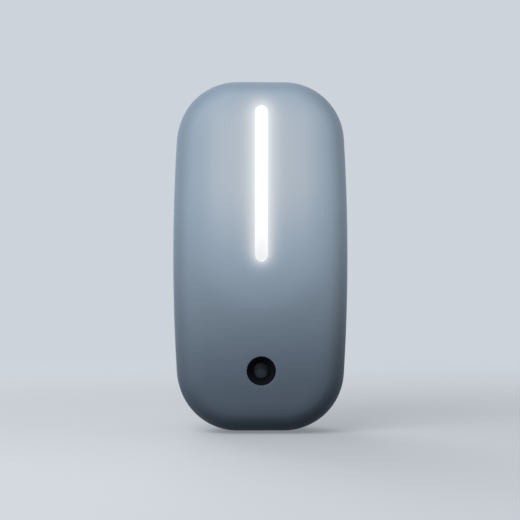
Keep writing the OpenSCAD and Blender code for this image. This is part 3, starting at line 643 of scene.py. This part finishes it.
def opening(shape, loop_of):
    """The lip and wall of an opening: its loop on the outside and its loop on the inside."""
    turns = [math.pi / 2 * i / LIP_STEPS for i in range(LIP_STEPS + 1)]
    steps = [(LIP * (1 - math.sin(a)), LIP * (1 - math.cos(a)), 0.0) for a in turns]
    steps.append((0.0, 0.0, WALL))
    loops = [[shape.verts.new((u, form_y(u, v, wall) + down, middle_z + v)) for u, v in loop_of(offset)]
             for offset, down, wall in steps]
    for loop, next_loop in zip(loops, loops[1:]):
        bridge(shape, loop, next_loop)
    return loops[0], loops[-1]


print("slot loop:", len(slot_loop(0)), "points, hole loop:", len(hole_loop(0)))

# %% [markdown]
# ## The face
#
# The face has to curve both ways and still meet the slot and the hole exactly. A grid can't do that, so
# points are spread over it every few millimetres and joined into triangles with the loops as fixed
# edges. This is a constrained Delaunay triangulation, and Blender has it built in. Triangles inside an
# opening are left out.

# %% The face
FACE_STEP, ROW_SHARE = 1.9 * MM, 0.87
CLEAR_OF_EDGE = 0.6 * FACE_STEP
WHOLE_HULL, TOO_CLOSE = 0, 1e-6


def in_opening(u, v, margin):
    """Whether (u, v) lies in the slot or the sensor hole, each of them grown by margin."""
    over = max(0.0, abs(v - (slot_z - middle_z)) - (SLOT_L - SLOT_W) / 2)
    in_slot = math.hypot(u, over) < SLOT_W / 2 + margin
    return in_slot or math.hypot(u, v - (sensor_z - middle_z)) < HOLE_D / 2 + margin


def face_points(edge_inset):
    """Points in staggered rows over the face, clear of its edge and of both openings."""
    points, rows = [], round(HALF_H / FACE_STEP)
    for i in range(-rows, rows + 1):
        for j in range(-rows, rows + 1):
            u, v = (j + 0.5 * (i % 2)) * FACE_STEP, i * FACE_STEP * ROW_SHARE
            on_face = inset_at(u, v) > edge_inset + CLEAR_OF_EDGE
            if on_face and not in_opening(u, v, CLEAR_OF_EDGE):
                points.append((u, v))
    return points


def fill_face(shape, loops, wall, lip, points):
    """Fills the face, wall deep, between its loops of vertices. The openings' loops lie lip outside."""
    verts = [v for loop in loops for v in loop]
    edges = []
    for loop in loops:
        start = len(edges)
        edges += [(start + i, start + (i + 1) % len(loop)) for i in range(len(loop))]
    verts += [shape.verts.new((u, form_y(u, v, wall), middle_z + v)) for u, v in points]
    flat = [Vector((round(v.co.x / MM, 4), round((v.co.z - middle_z) / MM, 4))) for v in verts]
    _, _, triangles, sources, _, _ = delaunay_2d_cdt(flat, edges, [], WHOLE_HULL, TOO_CLOSE)
    first = [source[0] for source in sources]
    for triangle in triangles:
        corners = [verts[first[i]] for i in triangle]
        u = sum(c.co.x for c in corners) / 3
        v = sum(c.co.z for c in corners) / 3 - middle_z
        if not in_opening(u, v, lip):
            shape.faces.new(corners)


face_spread = face_points(FACE_EDGE)
print("points on the face:", len(face_spread))

# %% [markdown]
# ## The cover, put together
#
# The rings, the openings and the two faces share their vertices, so the cover is one closed skin.
# Inside it stand four bosses for the long screws and four pegs for the light channel. They are solids
# of their own at first, turned from a profile, and a boolean then joins them to the skin.

# %% The bosses and pegs, turned on a lathe
BOSS_R, BORE_R, BOSS_X, BOSS_Z = 3.5 * MM, 1.25 * MM, 18 * MM, 49 * MM
BOSS_ROOT, BOSS_SHORT, BORE_DEPTH = 3 * MM, 1 * MM, 14.5 * MM
PEG_R, PEG_TIP, PEG_X, PEG_Z = 1.2 * MM, 0.4 * MM, 7.8 * MM, 10 * MM
PEG_ROOT, PEG_END = 2 * MM, 10 * MM


def lathe(shape, profile, x_at=0.0, z_at=0.0, turns=48, ring=False):
    """Turns a profile of (radius, y) about an axis along Y. A radius of 0 closes an end of it."""
    loops = []
    for radius, y_at in profile:
        if radius == 0:
            loops.append([shape.verts.new((x_at, y_at, z_at))])
            continue
        angles = [2 * math.pi * i / turns for i in range(turns)]
        loops.append([shape.verts.new((x_at + radius * math.cos(a), y_at, z_at + radius * math.sin(a)))
                      for a in angles])
    for loop, next_loop in zip(loops, loops[1:] + loops[:1] if ring else loops[1:]):
        if len(loop) == len(next_loop):
            bridge(shape, loop, next_loop)
            continue
        tip, edge = (loop[0], next_loop) if len(loop) == 1 else (next_loop[0], loop)
        for i in range(turns):
            shape.faces.new((tip, edge[i], edge[(i + 1) % turns]))


front_y = rim_y - COVER_D
boss_front, boss_back, bore_end = front_y + BOSS_ROOT, rim_y - BOSS_SHORT, rim_y - BORE_DEPTH
peg_front, peg_back = front_y + PEG_ROOT, front_y + PEG_END
inside = bmesh.new()
for side_of in (-1, 1):
    for level_of in (-1, 1):
        lathe(inside, [(0, boss_front), (BOSS_R, boss_front), (BOSS_R, boss_back), (BORE_R, boss_back),
                       (BORE_R, bore_end), (0, bore_end)], side_of * BOSS_X, middle_z + level_of * BOSS_Z)
        lathe(inside, [(0, peg_front), (PEG_R, peg_front), (PEG_R, peg_back - PEG_TIP),
                       (PEG_R - PEG_TIP, peg_back), (0, peg_back)],
              side_of * PEG_X, slot_z + level_of * PEG_Z, turns=24)
bmesh.ops.recalc_face_normals(inside, faces=inside.faces)
posts = made_of(inside, "posts")
print("bosses and pegs:", len(posts.data.polygons), "faces")

# %% The cover
cover = bmesh.new()
rings = [ring_at(cover, level) for level in levels]
for ring, next_ring in zip(rings, rings[1:]):
    bridge(cover, ring, next_ring)
slot_out, slot_in = opening(cover, slot_loop)
hole_out, hole_in = opening(cover, hole_loop)
fill_face(cover, [rings[0], slot_out, hole_out], 0.0, LIP, face_spread)
fill_face(cover, [rings[-1], slot_in, hole_in], WALL, 0.0, face_spread)

cover_moulding = show("cover_moulding", cover, cover_satin, "front_cover")
joint = cover_moulding.modifiers.new("posts", "BOOLEAN")
joint.operation = "UNION"
joint.solver = "EXACT"
joint.object = posts
joined = bpy.data.meshes.new_from_object(
    cover_moulding.evaluated_get(bpy.context.evaluated_depsgraph_get()))
cover_moulding.modifiers.remove(joint)
cover_moulding.data = joined
bpy.data.objects.remove(posts)
print("cover with its posts:", len(joined.polygons), "faces")

# %% [markdown]
# ## Softened solids
#
# No moulded or stamped edge is perfectly sharp. Where a solid's form is already right, its mesh is
# copied, the triangles of each flat are merged, and every corner gets a small bevel. The bevel costs
# little and does much: it is the thin bright line along an edge that makes a part look real.

# %% Softening a solid
MERGE_WITHIN, FLAT_WITHIN = 0.002 * MM, math.radians(0.3)


def softened(solid, name, material, radius, body="light", segments=2, corner=28):
    """A copy of a solid with every corner above corner degrees bevelled by radius."""
    shape = bmesh.new()
    shape.from_mesh(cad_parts[solid].data)
    bmesh.ops.remove_doubles(shape, verts=shape.verts, dist=MERGE_WITHIN)
    bmesh.ops.dissolve_limit(shape, angle_limit=FLAT_WITHIN, verts=shape.verts, edges=shape.edges)
    sharp = [e for e in shape.edges if len(e.link_faces) == 2
             and e.calc_face_angle() > math.radians(corner)]
    bmesh.ops.bevel(shape, geom=sharp, offset=radius, offset_type="OFFSET", segments=segments,
                    profile=0.5, affect="EDGES", clamp_overlap=False)
    piece = show(name, shape, material, solid, body, corner=60)
    flats = piece.modifiers.new("flats", "WEIGHTED_NORMAL")
    flats.keep_sharp = True
    flats.weight = 100
    return piece


softened("rear_housing", "housing_moulding", housing_satin, 0.15 * MM)
softened("rear_window", "glow_window", window_opal, 0.12 * MM)
softened("plug_body", "plug_block", housing_satin, 0.5 * MM)

# %% [markdown]
# ## The sensor
#
# The light sensor sits in a cup that narrows in small steps, so that stray light from the side is lost
# in them. The cup is moulded in matt black ABS, which the eye sees as a hole with no sheen. At its
# bottom shows the rounded nose of the photocell: smoked epoxy, cast over a pale chip, which looks like
# a dull blue-grey disc. Both are round, so both are made on the lathe.

# %% The sensor cup
cup_black = moulded("black_cup_abs", "#101419", "#14181E", 0.7, 0.4 * MM, 0.01 * MM,
                    IOR=1.53, Specular_IOR_Level=0.08)
MOUTH_R, THROAT_R, BORE, FUNNEL_D = 4.7 * MM, 3.4 * MM, 2.8 * MM, 3.4 * MM
FUNNEL_STEPS, STEP_DRAFT, CUP_EDGE = 4, 0.1 * MM, 0.12 * MM
FLANGE_R, TUBE_R, FLANGE_AT, FLANGE_T = 6.5 * MM, 4.0 * MM, 2.0 * MM, 1.2 * MM
cup_r = HOLE_D / 2 - 0.1 * MM
funnel = [(MOUTH_R + CUP_EDGE, cup_lo.y), (MOUTH_R, cup_lo.y + CUP_EDGE)]
for i in range(FUNNEL_STEPS):
    r = MOUTH_R + (THROAT_R - MOUTH_R) * i / FUNNEL_STEPS
    next_r = MOUTH_R + (THROAT_R - MOUTH_R) * (i + 1) / FUNNEL_STEPS
    down = cup_lo.y + FUNNEL_D * (i + 1) / FUNNEL_STEPS
    funnel += [(r - STEP_DRAFT, down), (next_r, down)]
flange_y = cup_lo.y + FLANGE_AT
cup = bmesh.new()
lathe(cup, funnel + [(BORE, cup_lo.y + FUNNEL_D), (BORE, cup_hi.y), (TUBE_R, cup_hi.y),
                     (TUBE_R, flange_y + FLANGE_T), (FLANGE_R, flange_y + FLANGE_T),
                     (FLANGE_R, flange_y), (cup_r, flange_y),
                     (cup_r, cup_lo.y + CUP_EDGE), (cup_r - CUP_EDGE, cup_lo.y)],
      z_at=sensor_z, turns=96, ring=True)
show("stepped_cup", cup, cup_black, "sensor_cup")

# %% [markdown]
# The photocell's epoxy is tinted, so its chip shows as a slightly paler round patch, and the rest of
# the dome stays darker. The patch is centred a little below the cell's axis, so the top of the disc stays
# dark: that is painted shade, where the cup's rim would shade it. So the patch is a change of colour with
# the distance from a point just below the cell's axis.

# %% The photocell
cell_lo, cell_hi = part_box("photocell")
CELL_R, CELL_L, WIRE_R, WIRE_X = 2.7 * MM, 5.4 * MM, 0.25 * MM, 1.27 * MM
WIRE_IN = CELL_R / 8
DOME_R, DOME_STEPS = 8 * MM, 8
CHIP_X, SHADE_DROP, CHIP_R, CHIP_FADE_R = -0.1 * MM, 1.4 * MM, 1.4 * MM, 2.7 * MM
cell_resin = moulded("smoked_epoxy", "#0B0E12", "#101418", 0.5, 0.5 * MM, 0.004 * MM,
                     IOR=1.55, Specular_IOR_Level=0.15)


def axis_distance(tree, x_at, z_at):
    """How far a point of the surface lies from an axis along Y."""
    place = position(tree)
    flat = add(tree, "CombineXYZ", {"X": place["X"], "Z": place["Z"]})
    apart = add(tree, "VectorMath", {0: flat, 1: (x_at, 0, z_at)}, operation="DISTANCE")
    return apart.outputs["Value"]


tree = cell_resin.node_tree
# The paler patch for the chip, centred a little below the axis: the dark top of the disc that this leaves
# is painted shade
chip = add(tree, "MapRange",
           {"Value": axis_distance(tree, CHIP_X, sensor_z - SHADE_DROP), "From Min": CHIP_R,
            "From Max": CHIP_FADE_R, "To Min": 1.0, "To Max": 0.0}, interpolation_type="SMOOTHSTEP")
paint_where(cell_resin, chip, "#333D46")

cell = bmesh.new()
arc = [math.asin(CELL_R / DOME_R) * i / DOME_STEPS for i in range(1, DOME_STEPS + 1)]
dome = [(DOME_R * math.sin(a), cell_lo.y + DOME_R * (1 - math.cos(a))) for a in arc]
cell_back = cell_lo.y + CELL_L
lathe(cell, [(0, cell_lo.y)] + dome + [(CELL_R, cell_back), (0, cell_back)], z_at=sensor_z, turns=64)
for side_of in (-1, 1):
    lathe(cell, [(0, cell_back - WIRE_IN), (WIRE_R, cell_back - WIRE_IN), (WIRE_R, cell_hi.y),
                 (0, cell_hi.y)], side_of * WIRE_X, sensor_z, turns=16)
show("photocell_dome", cell, cell_resin, "photocell")

# %% [markdown]
# ## The plug's pins
#
# Each pin is one turned piece of brass. Its bare end is thick and has a round nose, and the part behind
# it is thinner, so that a sleeve of the same outside size fits over it: nobody can touch live metal
# while the plug is half out. The sleeve is moulded nylon, smooth and slightly milky. A collar deep in
# the plug keeps the pin from being pulled out.

# %% The pins and their sleeves
PIN_R, CORE_R, SLEEVE_R, COLLAR_R = 2.0 * MM, 1.5 * MM, 1.8 * MM, 2.5 * MM
SLEEVE_END, COLLAR_FROM, COLLAR_TO, PIN_EDGE = 10 * MM, -9 * MM, -6 * MM, 0.15 * MM
NOSE_STEPS = 12
sleeve_satin = moulded("nylon_sleeve", "#C9CFD5", "#C2C8CF", 0.36, 0.3 * MM, 0.006 * MM, IOR=1.53)

for side_name in ("left", "right"):
    lo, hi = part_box("plug_pin_" + side_name)
    sleeve_lo, sleeve_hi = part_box("pin_sleeve_" + side_name)
    axis = (lo.x + hi.x) / 2
    nose = [(PIN_R * math.cos(a), hi.y - PIN_R + PIN_R * math.sin(a))
            for a in [math.pi / 2 * i / NOSE_STEPS for i in range(NOSE_STEPS)]]
    pin = bmesh.new()
    lathe(pin, [(0, lo.y), (CORE_R - PIN_EDGE, lo.y), (CORE_R, lo.y + PIN_EDGE), (CORE_R, COLLAR_FROM),
                (COLLAR_R, COLLAR_FROM), (COLLAR_R, COLLAR_TO), (CORE_R, COLLAR_TO), (CORE_R, SLEEVE_END),
                (PIN_R - PIN_EDGE, SLEEVE_END), (PIN_R, SLEEVE_END + PIN_EDGE)] + nose + [(0, hi.y)],
          axis, turns=64)
    show("turned_pin_" + side_name, pin, nickel, "plug_pin_" + side_name)
    sleeve = bmesh.new()
    lathe(sleeve, [(CORE_R, sleeve_lo.y), (SLEEVE_R, sleeve_lo.y), (SLEEVE_R, sleeve_hi.y - PIN_EDGE),
                   (SLEEVE_R - PIN_EDGE, sleeve_hi.y), (CORE_R, sleeve_hi.y)], axis, turns=64, ring=True)
    show("nylon_sleeve_" + side_name, sleeve, sleeve_satin, "pin_sleeve_" + side_name)

# %% [markdown]
# ## Screws and switch
#
# Four pan head screws hold the housing to the cover, deep in their own holes in the back. The slide
# switch on the underside shows only its black ribbed knob and, round it, a little of its tinned frame.
# The knob is moulded acetal, which slides well and has a slightly waxy sheen. It is a body of its own:
# it moves, so its piece rides on that body.

# %% The screws and the switch
switch_black = moulded("black_switch_pom", "#0E0F10", "#141517", 0.38, 0.3 * MM, 0.008 * MM, IOR=1.48)
softened("housing_screws", "case_screws", zinc, 0.08 * MM)
softened("switch_knob", "ribbed_knob", switch_black, 0.1 * MM, body="slide_switch")
softened("switch_frame", "switch_plate", tinned_sheet, 0.06 * MM)

# %% [markdown]
# ## The inside
#
# Nothing behind the walls shows while the light is closed, but a part that is taken apart later should
# look right too. These solids keep their own meshes and only get their finishes. Some have two
# finishes on one solid, such as a black chip with tinned legs: a mask over the position picks the
# metal.

# %% Two finishes on one solid
kept = [name for name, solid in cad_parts.items() if not solid.hide_render]
print("solids that keep their mesh:", len(kept))


def dress(material, *solids):
    """Gives solids that keep their own mesh a finish."""
    for solid in solids:
        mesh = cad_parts[solid].data
        mesh.materials.clear()
        mesh.materials.append(material)
    print(material.name, "on", *solids)


def metal_where(material, mask, colour="#C6C5C0", roughness=0.3):
    """Makes a moulded material bare tinned metal where the mask is 1."""
    tree = material.node_tree
    finish = tree.nodes["finish"]
    satin = finish.inputs["Roughness"].links[0].from_socket
    gloss = add(tree, "Mix", {0: mask, 2: satin, 3: roughness})
    paint_where(material, mask, colour)
    tree.links.new(gloss.outputs[0], finish.inputs["Roughness"])
    tree.links.new(mask.outputs[0], finish.inputs["Metallic"])


# %% [markdown]
# The light channel and the reflector are moulded in glossy white polycarbonate, which sends nearly all
# the light forward. A circuit board is a pressed sheet of glass cloth and resin with etched copper
# tracks, under a thin lacquer that the eye sees as a shine over raised lines.
# The tracks run side by side in patches that turn left or right where they meet. A Voronoi texture
# makes the patches, and each patch repeats one track along one of the board's two directions. The LED
# board has a white lacquer over wide tracks, because they also carry the heat away.

# %% The circuit boards
TRACK_EDGE, TRACK_DEPTH, TRACK_RISE = 0.08 * MM, 0.03 * MM, 0.6


def tracked_board(name, colour, shade, track_colour, pitch, width, patch):
    """A board whose copper tracks, width wide and pitch apart, run in patches of about that size."""
    material = moulded(name, colour, shade, 0.35, 0.6 * MM, 0.01 * MM, IOR=1.55)
    tree = material.node_tree
    place = position(tree)
    flat = add(tree, "CombineXYZ", {"X": place["X"], "Y": place["Z"]})
    patches = add(tree, "TexVoronoi", {"Vector": flat, "Scale": 1 / patch},
                  voronoi_dimensions="2D", distance="MANHATTAN")
    number = add(tree, "SeparateColor", {0: patches.outputs["Color"]})
    turned = add(tree, "Math", {0: number.outputs["Red"], 1: 0.5}, operation="GREATER_THAN")
    across = add(tree, "Mix", {0: turned, 2: place["X"], 3: place["Z"]})
    off_track = add(tree, "Math", {0: across, 1: pitch / 2}, operation="PINGPONG")
    copper = add(tree, "MapRange",
                 {"Value": off_track, "From Min": width / 2, "From Max": width / 2 + TRACK_EDGE,
                  "To Min": 1.0, "To Max": 0.0})
    raised = add(tree, "Bump", {"Height": copper, "Strength": TRACK_RISE, "Distance": TRACK_DEPTH})
    paint_where(material, copper, track_colour)
    tree.links.new(raised.outputs[0], tree.nodes["finish"].inputs["Normal"])
    return material


reflector_white = moulded("reflector_polycarbonate", "#EDEFF1", "#E8EAED",
                          0.2, 0.5 * MM, 0.004 * MM, IOR=1.58)
white_board = tracked_board("white_lacquered_board", "#DADDDB", "#D5D8D6", "#E9EBEA",
                            5 * MM, 4.4 * MM, 11 * MM)
green_board = tracked_board("green_lacquered_board", "#12502B", "#0F4826", "#1E6A3A",
                            1.4 * MM, 0.6 * MM, 7 * MM)
dress(reflector_white, "light_channel", "rear_reflector")
dress(white_board, "led_board")
dress(green_board, "driver_board")
dress(zinc, "led_board_screws", "board_screws")

# %% [markdown]
# An LED is a small package, moulded in a bright white nylon, with a round window of yellow phosphor,
# which turns the blue chip's light white. The window is the only face that lies that deep, so its depth
# tells it from the package.

# %% The LEDs
front_leds_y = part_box("front_leds")[0].y
rear_leds_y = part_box("rear_leds")[1].y
WINDOW_DEPTH, WINDOW_SPAN, FACING = 0.25 * MM, 0.06 * MM, 0.7
led_white = moulded("white_led_nylon", "#EDEEEA", "#E6E7E3", 0.3, 0.3 * MM, 0.004 * MM, IOR=1.5)
tree = led_white.node_tree
y = position(tree)["Y"]
masks = [add(tree, "Math", {0: y, 1: depth, 2: WINDOW_SPAN}, operation="COMPARE")
         for depth in (front_leds_y + WINDOW_DEPTH, rear_leds_y - WINDOW_DEPTH)]
either = add(tree, "Math", {0: masks[0], 1: masks[1]}, operation="MAXIMUM")
normal = add(tree, "SeparateXYZ", {0: add(tree, "TexCoord").outputs["Normal"]})
turn = add(tree, "Math", {0: normal.outputs["Y"]}, operation="ABSOLUTE")
facing = add(tree, "Math", {0: turn, 1: FACING}, operation="GREATER_THAN")
phosphor = add(tree, "Math", {0: either, 1: facing}, operation="MULTIPLY")
paint_where(led_white, phosphor, "#E9D24A")
light_up(led_white, "#FFF4D0", phosphor)
dress(led_white, "front_leds", "rear_leds")

# %% [markdown]
# The driver's parts stand on the green board with their legs in it: a film capacitor in a glossy yellow
# box, a dark electrolytic one in a shrunk plastic sleeve, chips moulded in dull black epoxy, a fuse
# resistor in lacquer with painted bands, and a varistor that was dipped in epoxy, so its blue skin is
# glossy and uneven. Legs are tinned, and they are what lies closest to the board.

# %% The driver's parts
board_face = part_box("driver_board")[0].y
LEG_HEIGHT, DISC_D = 0.32 * MM, 7.2 * MM
disc_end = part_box("surge_varistor")[0].y + DISC_D

chip_black = moulded("epoxy_chip", "#0F1011", "#161718", 0.55, 0.2 * MM, 0.01 * MM, IOR=1.55)
film_yellow = moulded("yellow_film_box", "#C79A1E", "#BD9018", 0.25, 0.8 * MM, 0.01 * MM, IOR=1.55)
varistor_blue = moulded("blue_dipped_epoxy", "#12337C", "#0F2C6E", 0.25, 0.9 * MM, 0.03 * MM, IOR=1.55)
for material, legs_from in ((chip_black, board_face - LEG_HEIGHT), (varistor_blue, disc_end)):
    tree = material.node_tree
    metal_where(material, add(tree, "Math", {0: position(tree)["Y"], 1: legs_from},
                              operation="GREATER_THAN"))
dress(chip_black, "bridge_rectifier", "driver_chip", "chip_resistors")
dress(film_yellow, "film_capacitor")
dress(varistor_blue, "surge_varistor")

# %% The electrolytic capacitor: a bare aluminium top inside the rim of its sleeve
can_lo, can_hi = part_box("smoothing_capacitor")
TOP_DEPTH, SLEEVE_RIM = 0.25 * MM, 0.6 * MM
can_sleeve = moulded("shrunk_blue_sleeve", "#111B3C", "#0E1733", 0.3, 0.7 * MM, 0.01 * MM, IOR=1.53)
tree = can_sleeve.node_tree
from_axis = axis_distance(tree, (can_lo.x + can_hi.x) / 2, (can_lo.z + can_hi.z) / 2)
within = add(tree, "Math", {0: from_axis, 1: (can_hi.x - can_lo.x) / 2 - SLEEVE_RIM},
             operation="LESS_THAN")
top_face = add(tree, "Math", {0: position(tree)["Y"], 1: can_lo.y + TOP_DEPTH}, operation="LESS_THAN")
bare = add(tree, "Math", {0: within, 1: top_face}, operation="MULTIPLY")
metal_where(can_sleeve, bare, "#BFC2C5", 0.28)
dress(can_sleeve, "smoothing_capacitor")

# %% The fuse resistor: green lacquer with four bands, between bare wires
fuse_lo, fuse_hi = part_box("fuse_resistor")
LACQUER_L = 9 * MM
BANDS = {"#6B3A1E": 0.28, "#1B1B1C": 0.40, "#B0862C": 0.52, "#D9D9D6": 0.72}
BAND_SHARE = 0.06
fuse_lacquer = moulded("green_lacquer", "#3C7463", "#356A5A", 0.28, 0.6 * MM, 0.015 * MM, IOR=1.5)
tree = fuse_lacquer.node_tree
x = position(tree)["X"]
fuse_middle = (fuse_lo.x + fuse_hi.x) / 2
share = add(tree, "MapRange",
            {"Value": x, "From Min": fuse_middle - LACQUER_L / 2,
             "From Max": fuse_middle + LACQUER_L / 2})
for colour, at in BANDS.items():
    band = add(tree, "Math", {0: share, 1: at, 2: BAND_SHARE / 2}, operation="COMPARE")
    paint_where(fuse_lacquer, band, colour)
middle = add(tree, "Math", {0: x, 1: fuse_middle, 2: LACQUER_L / 2}, operation="COMPARE")
wire = add(tree, "Math", {0: 1.0, 1: middle}, operation="SUBTRACT")
metal_where(fuse_lacquer, wire)
dress(fuse_lacquer, "fuse_resistor")

# %% [markdown]
# The wires have soft PVC insulation in the usual colours, with a low sheen. The shroud between the
# photocell and the board is black silicone, dull and slightly dusty.

# %% Wires, shroud and the hidden parts of the switch
WIRES = {"live_lead": ("#4A2A14", "#432511"), "neutral_lead": ("#1B3F86", "#18397B"),
         "led_lead_positive": ("#9E1A16", "#921713"), "led_lead_negative": ("#101011", "#161617"),
         "switch_leads": ("#7B7C7E", "#747577")}
for solid, (colour, shade) in WIRES.items():
    dress(moulded("pvc_" + solid, colour, shade, 0.4, 0.5 * MM, 0.01 * MM, IOR=1.53), solid)
silicone = moulded("black_silicone", "#0D0D0E", "#17171A", 0.7, 0.5 * MM, 0.03 * MM, IOR=1.41)
dress(silicone, "sensor_shroud")
dress(switch_black, "switch_body")
dress(tin_plate, "switch_terminals")
dress(bar_opal, "light_bar")
print("finished solids:", sum(len(n.data.materials) == 1 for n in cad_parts.values()))
